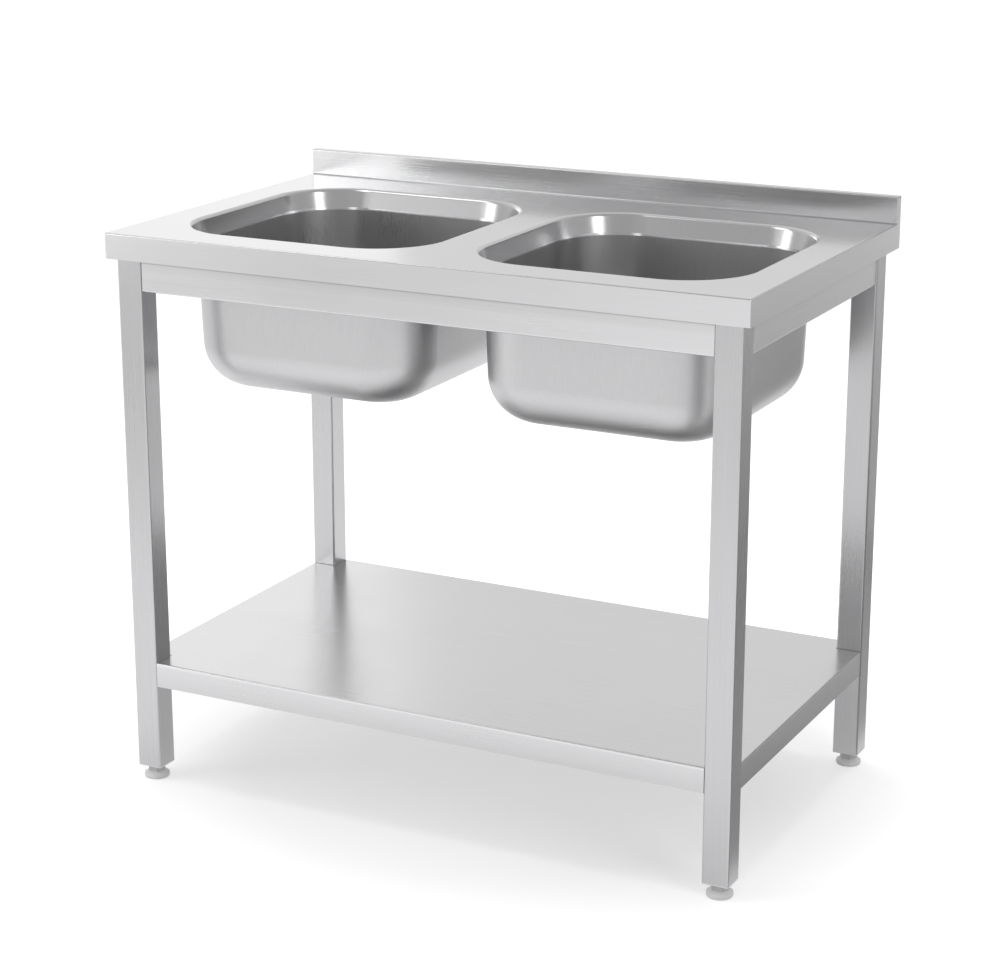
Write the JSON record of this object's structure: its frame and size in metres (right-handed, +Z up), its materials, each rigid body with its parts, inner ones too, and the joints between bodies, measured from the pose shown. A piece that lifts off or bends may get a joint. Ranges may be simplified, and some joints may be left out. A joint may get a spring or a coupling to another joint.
{
  "type": "double bowl sink with shelf",
  "caption": "Free-standing stainless steel sink table with deep drawn bowls set side by side, a rear upstand, square legs, a low shelf and levelling feet.",
  "frame": {"origin": "on the floor, under the middle of the worktop", "axes": "+X to the right seen from the front, +Y to the back (the upstand side), +Z up"},
  "size_m": [1, 0.6, 0.89],
  "materials": {
    "sheet_steel": "fine brushed",
    "bowl_steel": "satin drawn",
    "tube_steel": "fine brushed",
    "fixing_steel": "bright",
    "waste_metal": "polished",
    "waste_plastic": "moulded",
    "rubber": "matt",
    "foot_plastic": "moulded"
  },
  "bodies": {
    "table": {"worktop": "sheet_steel", "shelf": "sheet_steel", "worktop_stiffener": "sheet_steel", "shelf_stiffener_front": "sheet_steel", "shelf_stiffener_back": "sheet_steel", "rail_front": "sheet_steel", "rail_back": "sheet_steel", "rail_left": "sheet_steel", "rail_right": "sheet_steel", "bowl_left": "bowl_steel", "bowl_right": "bowl_steel", "leg_front_left": "tube_steel", "leg_front_right": "tube_steel", "leg_back_left": "tube_steel", "leg_back_right": "tube_steel", "waste_flange_left": "waste_metal", "waste_seal_left": "rubber", "waste_washer_left": "rubber", "waste_nut_left": "waste_plastic", "waste_flange_right": "waste_metal", "waste_seal_right": "rubber", "waste_washer_right": "rubber", "waste_nut_right": "waste_plastic", "rail_bolts": "fixing_steel", "shelf_bolts": "fixing_steel", "rivet_nuts": "fixing_steel", "worktop_studs": "fixing_steel", "worktop_nuts": "fixing_steel", "foot_socket_front_left": "foot_plastic", "foot_socket_front_right": "foot_plastic", "foot_socket_back_left": "foot_plastic", "foot_socket_back_right": "foot_plastic"},
    "pad_front_left": {"foot_pad_front_left": "foot_plastic"},
    "stem_front_left": {"foot_stem_front_left": "fixing_steel", "foot_neck_front_left": "foot_plastic"},
    "pad_front_right": {"foot_pad_front_right": "foot_plastic"},
    "stem_front_right": {"foot_stem_front_right": "fixing_steel", "foot_neck_front_right": "foot_plastic"},
    "pad_back_left": {"foot_pad_back_left": "foot_plastic"},
    "stem_back_left": {"foot_stem_back_left": "fixing_steel", "foot_neck_back_left": "foot_plastic"},
    "pad_back_right": {"foot_pad_back_right": "foot_plastic"},
    "stem_back_right": {"foot_stem_back_right": "fixing_steel", "foot_neck_back_right": "foot_plastic"},
    "plug_left": {"plug_left": "rubber"},
    "plug_right": {"plug_right": "rubber"}
  },
  "joints": [
    {"name": "foot_turn_front_left", "type": "hinge", "parent": "pad_front_left", "child": "stem_front_left", "pos_m": [-0.467, -0.269, 0.01], "axis": [0, 0, -1], "range_deg": [0, 5760]},
    {"name": "foot_height_front_left", "type": "slide", "parent": "table", "child": "pad_front_left", "axis": [0, 0, -1], "range_m": [0, 0.024]},
    {"name": "foot_turn_front_right", "type": "hinge", "parent": "pad_front_right", "child": "stem_front_right", "pos_m": [0.467, -0.269, 0.01], "axis": [0, 0, -1], "range_deg": [0, 5760]},
    {"name": "foot_height_front_right", "type": "slide", "parent": "table", "child": "pad_front_right", "axis": [0, 0, -1], "range_m": [0, 0.024]},
    {"name": "foot_turn_back_left", "type": "hinge", "parent": "pad_back_left", "child": "stem_back_left", "pos_m": [-0.467, 0.261, 0.01], "axis": [0, 0, -1], "range_deg": [0, 5760]},
    {"name": "foot_height_back_left", "type": "slide", "parent": "table", "child": "pad_back_left", "axis": [0, 0, -1], "range_m": [0, 0.024]},
    {"name": "foot_turn_back_right", "type": "hinge", "parent": "pad_back_right", "child": "stem_back_right", "pos_m": [0.467, 0.261, 0.01], "axis": [0, 0, -1], "range_deg": [0, 5760]},
    {"name": "foot_height_back_right", "type": "slide", "parent": "table", "child": "pad_back_right", "axis": [0, 0, -1], "range_m": [0, 0.024]},
    {"name": "plug_lift_left", "type": "slide", "parent": "table", "child": "plug_left", "axis": [0, 0, 1], "range_m": [0, 0.3]},
    {"name": "plug_lift_right", "type": "slide", "parent": "table", "child": "plug_right", "axis": [0, 0, 1], "range_m": [0, 0.3]}
  ],
  "couplings": [
    {"joint": "foot_turn_front_left", "follows": "foot_height_front_left", "rad_per_m": 4188.8},
    {"joint": "foot_turn_front_right", "follows": "foot_height_front_right", "rad_per_m": 4188.8},
    {"joint": "foot_turn_back_left", "follows": "foot_height_back_left", "rad_per_m": 4188.8},
    {"joint": "foot_turn_back_right", "follows": "foot_height_back_right", "rad_per_m": 4188.8}
  ]
}
